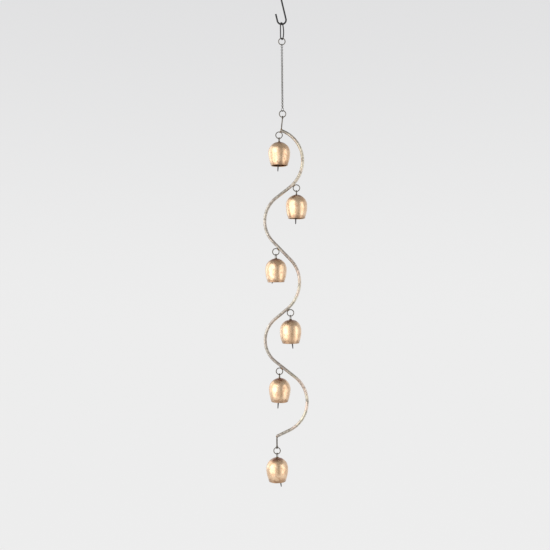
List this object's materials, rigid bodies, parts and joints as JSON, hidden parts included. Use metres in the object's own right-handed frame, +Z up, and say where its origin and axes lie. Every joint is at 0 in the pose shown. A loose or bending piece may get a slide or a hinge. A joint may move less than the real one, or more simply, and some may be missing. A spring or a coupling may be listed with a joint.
{
  "type": "hanging bell mobile",
  "caption": "Hanging garden bell mobile: an S-hook, an oval link and a fine chain carry a wavy rod with small domed bells hung in its bends, each with a stick clapper.",
  "frame": {"origin": "the inside top of the S-hook's upper bowl, where the piece hangs", "axes": "+Z up, +X to the right of someone who faces the wave, +Y away from them"},
  "size_m": [0.0885, 0.0424, 1.004],
  "materials": {
    "black_steel": "satin",
    "wire_pewter": "satin",
    "rod_gold": "satin",
    "bell_brass": "satin",
    "clapper_iron": "matte"
  },
  "bodies": {
    "hook": {"s_hook": "black_steel"},
    "oval_link": {"oval_link": "black_steel"},
    "top_ring": {"top_ring": "wire_pewter"},
    "chain_01": {"chain_links_01": "wire_pewter"},
    "chain_02": {"chain_links_02": "wire_pewter"},
    "chain_03": {"chain_links_03": "wire_pewter"},
    "chain_04": {"chain_links_04": "wire_pewter"},
    "chain_05": {"chain_links_05": "wire_pewter"},
    "chain_06": {"chain_links_06": "wire_pewter"},
    "chain_07": {"chain_links_07": "wire_pewter"},
    "chain_08": {"chain_links_08": "wire_pewter"},
    "chain_09": {"chain_links_09": "wire_pewter"},
    "chain_10": {"chain_links_10": "wire_pewter"},
    "chain_11": {"chain_links_11": "wire_pewter"},
    "chain_12": {"chain_links_12": "wire_pewter"},
    "chain_13": {"chain_links_13": "wire_pewter"},
    "chain_14": {"chain_links_14": "wire_pewter"},
    "chain_15": {"chain_links_15": "wire_pewter"},
    "chain_16": {"chain_links_16": "wire_pewter"},
    "chain_17": {"chain_links_17": "wire_pewter"},
    "chain_18": {"chain_links_18": "wire_pewter"},
    "chain_19": {"chain_links_19": "wire_pewter"},
    "chain_20": {"chain_links_20": "wire_pewter"},
    "chain_end": {"chain_end_link": "wire_pewter"},
    "lower_ring": {"lower_ring": "wire_pewter"},
    "wave": {"upper_hairpin": "wire_pewter", "wave_rod": "rod_gold", "lower_hairpin": "wire_pewter", "bell_1_ring": "wire_pewter", "bell_2_ring": "wire_pewter", "bell_3_ring": "wire_pewter", "bell_4_ring": "wire_pewter", "bell_5_ring": "wire_pewter"},
    "bell_6_ring": {"bell_6_ring": "wire_pewter"},
    "bell_1": {"bell_1_shell": "bell_brass", "bell_1_hanger": "wire_pewter"},
    "clapper_1": {"bell_1_clapper": "clapper_iron"},
    "bell_2": {"bell_2_shell": "bell_brass", "bell_2_hanger": "wire_pewter"},
    "clapper_2": {"bell_2_clapper": "clapper_iron"},
    "bell_3": {"bell_3_shell": "bell_brass", "bell_3_hanger": "wire_pewter"},
    "clapper_3": {"bell_3_clapper": "clapper_iron"},
    "bell_4": {"bell_4_shell": "bell_brass", "bell_4_hanger": "wire_pewter"},
    "clapper_4": {"bell_4_clapper": "clapper_iron"},
    "bell_5": {"bell_5_shell": "bell_brass", "bell_5_hanger": "wire_pewter"},
    "clapper_5": {"bell_5_clapper": "clapper_iron"},
    "bell_6": {"bell_6_shell": "bell_brass", "bell_6_hanger": "wire_pewter"},
    "clapper_6": {"bell_6_clapper": "clapper_iron"}
  },
  "joints": [
    {"name": "oval_link_swing", "type": "hinge", "parent": "hook", "child": "oval_link", "pos_m": [0, 0, -0.0925], "axis": [1, 0, 0], "range_deg": [-60, 60]},
    {"name": "top_ring_swing", "type": "hinge", "parent": "oval_link", "child": "top_ring", "pos_m": [0, 0, -0.1221], "axis": [-0.5373, -0.8434, 0], "range_deg": [-60, 60]},
    {"name": "chain_swing_01", "type": "hinge", "parent": "top_ring", "child": "chain_01", "pos_m": [0, 0, -0.13275], "axis": [-1, 0, 0], "range_deg": [-60, 60]},
    {"name": "chain_twist_02", "type": "hinge", "parent": "chain_01", "child": "chain_02", "pos_m": [0, 0, -0.13809], "axis": [0, 0, 1], "range_deg": [-36, 36]},
    {"name": "chain_swing_03", "type": "hinge", "parent": "chain_02", "child": "chain_03", "pos_m": [0, 0, -0.14388], "axis": [-0.1253, 0.9921, 0], "range_deg": [-60, 60]},
    {"name": "chain_twist_04", "type": "hinge", "parent": "chain_03", "child": "chain_04", "pos_m": [0, 0, -0.15065], "axis": [0, 0, 1], "range_deg": [-36, 36]},
    {"name": "chain_swing_05", "type": "hinge", "parent": "chain_04", "child": "chain_05", "pos_m": [0, 0, -0.15742], "axis": [-0.9759, -0.2181, 0], "range_deg": [-60, 60]},
    {"name": "chain_twist_06", "type": "hinge", "parent": "chain_05", "child": "chain_06", "pos_m": [0, 0, -0.1632], "axis": [0, 0, 1], "range_deg": [-36, 36]},
    {"name": "chain_swing_07", "type": "hinge", "parent": "chain_06", "child": "chain_07", "pos_m": [0, 0, -0.16899], "axis": [-0.3681, 0.9298, 0], "range_deg": [-60, 60]},
    {"name": "chain_twist_08", "type": "hinge", "parent": "chain_07", "child": "chain_08", "pos_m": [0, 0, -0.17576], "axis": [0, 0, 1], "range_deg": [-36, 36]},
    {"name": "chain_swing_09", "type": "hinge", "parent": "chain_08", "child": "chain_09", "pos_m": [0, 0, -0.18253], "axis": [0.891, 0.454, 0], "range_deg": [-60, 60]},
    {"name": "chain_twist_10", "type": "hinge", "parent": "chain_09", "child": "chain_10", "pos_m": [0, 0, -0.18832], "axis": [0, 0, 1], "range_deg": [-36, 36]},
    {"name": "chain_swing_11", "type": "hinge", "parent": "chain_10", "child": "chain_11", "pos_m": [0, 0, -0.19411], "axis": [-0.5878, 0.809, 0], "range_deg": [-60, 60]},
    {"name": "chain_twist_12", "type": "hinge", "parent": "chain_11", "child": "chain_12", "pos_m": [0, 0, -0.20088], "axis": [0, 0, 1], "range_deg": [-36, 36]},
    {"name": "chain_swing_13", "type": "hinge", "parent": "chain_12", "child": "chain_13", "pos_m": [0, 0, -0.20765], "axis": [-0.7501, -0.6613, 0], "range_deg": [-60, 60]},
    {"name": "chain_twist_14", "type": "hinge", "parent": "chain_13", "child": "chain_14", "pos_m": [0, 0, -0.21344], "axis": [0, 0, 1], "range_deg": [-36, 36]},
    {"name": "chain_swing_15", "type": "hinge", "parent": "chain_14", "child": "chain_15", "pos_m": [0, 0, -0.21923], "axis": [0.7705, -0.6374, 0], "range_deg": [-60, 60]},
    {"name": "chain_twist_16", "type": "hinge", "parent": "chain_15", "child": "chain_16", "pos_m": [0, 0, -0.226], "axis": [0, 0, 1], "range_deg": [-36, 36]},
    {"name": "chain_swing_17", "type": "hinge", "parent": "chain_16", "child": "chain_17", "pos_m": [0, 0, -0.23276], "axis": [-0.5621, -0.8271, 0], "range_deg": [-60, 60]},
    {"name": "chain_twist_18", "type": "hinge", "parent": "chain_17", "child": "chain_18", "pos_m": [0, 0, -0.23855], "axis": [0, 0, 1], "range_deg": [-36, 36]},
    {"name": "chain_swing_19", "type": "hinge", "parent": "chain_18", "child": "chain_19", "pos_m": [0, 0, -0.24434], "axis": [-0.9048, 0.4258, 0], "range_deg": [-60, 60]},
    {"name": "chain_twist_20", "type": "hinge", "parent": "chain_19", "child": "chain_20", "pos_m": [0, 0, -0.25111], "axis": [0, 0, 1], "range_deg": [-36, 36]},
    {"name": "chain_end_swing", "type": "hinge", "parent": "chain_20", "child": "chain_end", "pos_m": [0, 0, -0.25688], "axis": [0.6561, -0.7547, 0], "range_deg": [-60, 60]},
    {"name": "lower_ring_swing", "type": "hinge", "parent": "chain_end", "child": "lower_ring", "pos_m": [0, 0, -0.2624], "axis": [-1, 0, 0], "range_deg": [-60, 60]},
    {"name": "wave_swing", "type": "hinge", "parent": "lower_ring", "child": "wave", "pos_m": [0, 0, -0.2752], "axis": [-1, 0, 0], "range_deg": [-60, 60]},
    {"name": "bell_6_ring_swing", "type": "hinge", "parent": "wave", "child": "bell_6_ring", "pos_m": [-0.0171, 0, -0.92462], "axis": [1, 0, 0], "range_deg": [-60, 60]},
    {"name": "bell_1_swing", "type": "hinge", "parent": "wave", "child": "bell_1", "pos_m": [-0.00726, 0, -0.317], "axis": [1, 0, 0], "range_deg": [-60, 60]},
    {"name": "bell_1_clapper_swing", "type": "hinge", "parent": "bell_1", "child": "clapper_1", "pos_m": [-0.00726, 0, -0.3316], "axis": [-0.342, 0.9397, 0], "range_deg": [-21.7, 14.3]},
    {"name": "bell_2_swing", "type": "hinge", "parent": "wave", "child": "bell_2", "pos_m": [0.02591, 0, -0.4213], "axis": [1, 0, 0], "range_deg": [-60, 60]},
    {"name": "bell_2_clapper_swing", "type": "hinge", "parent": "bell_2", "child": "clapper_2", "pos_m": [0.02591, 0, -0.4359], "axis": [0.2588, 0.9659, 0], "range_deg": [-20.8, 15.2]},
    {"name": "bell_3_swing", "type": "hinge", "parent": "wave", "child": "bell_3", "pos_m": [-0.01586, 0, -0.54627], "axis": [1, 0, 0], "range_deg": [-60, 60]},
    {"name": "bell_3_clapper_swing", "type": "hinge", "parent": "bell_3", "child": "clapper_3", "pos_m": [-0.01586, 0, -0.56087], "axis": [-0.5, 0.866, 0], "range_deg": [-30.4, 5.6]},
    {"name": "bell_4_swing", "type": "hinge", "parent": "wave", "child": "bell_4", "pos_m": [0.01187, 0, -0.66656], "axis": [1, 0, 0], "range_deg": [-60, 60]},
    {"name": "bell_4_clapper_swing", "type": "hinge", "parent": "bell_4", "child": "clapper_4", "pos_m": [0.01187, 0, -0.68116], "axis": [0.4067, 0.9135, 0], "range_deg": [-13.1, 22.9]},
    {"name": "bell_5_swing", "type": "hinge", "parent": "wave", "child": "bell_5", "pos_m": [-0.0109, 0, -0.78116], "axis": [1, 0, 0], "range_deg": [-60, 60]},
    {"name": "bell_5_clapper_swing", "type": "hinge", "parent": "bell_5", "child": "clapper_5", "pos_m": [-0.0109, 0, -0.79576], "axis": [-0.2756, 0.9613, 0], "range_deg": [-22.2, 13.8]},
    {"name": "bell_6_swing", "type": "hinge", "parent": "bell_6_ring", "child": "bell_6", "pos_m": [-0.0171, 0, -0.93742], "axis": [1, 0, 0], "range_deg": [-60, 60]},
    {"name": "bell_6_clapper_swing", "type": "hinge", "parent": "bell_6", "child": "clapper_6", "pos_m": [-0.0171, 0, -0.95202], "axis": [0.4695, 0.8829, 0], "range_deg": [-7.6, 28.4]}
  ],
  "couplings": [
    {"joint": "chain_twist_04", "follows": "chain_twist_02", "ratio": 1},
    {"joint": "chain_twist_06", "follows": "chain_twist_02", "ratio": 1},
    {"joint": "chain_twist_08", "follows": "chain_twist_02", "ratio": 1},
    {"joint": "chain_twist_10", "follows": "chain_twist_02", "ratio": 1},
    {"joint": "chain_twist_12", "follows": "chain_twist_02", "ratio": 1},
    {"joint": "chain_twist_14", "follows": "chain_twist_02", "ratio": 1},
    {"joint": "chain_twist_16", "follows": "chain_twist_02", "ratio": 1},
    {"joint": "chain_twist_18", "follows": "chain_twist_02", "ratio": 1},
    {"joint": "chain_twist_20", "follows": "chain_twist_02", "ratio": 1}
  ]
}
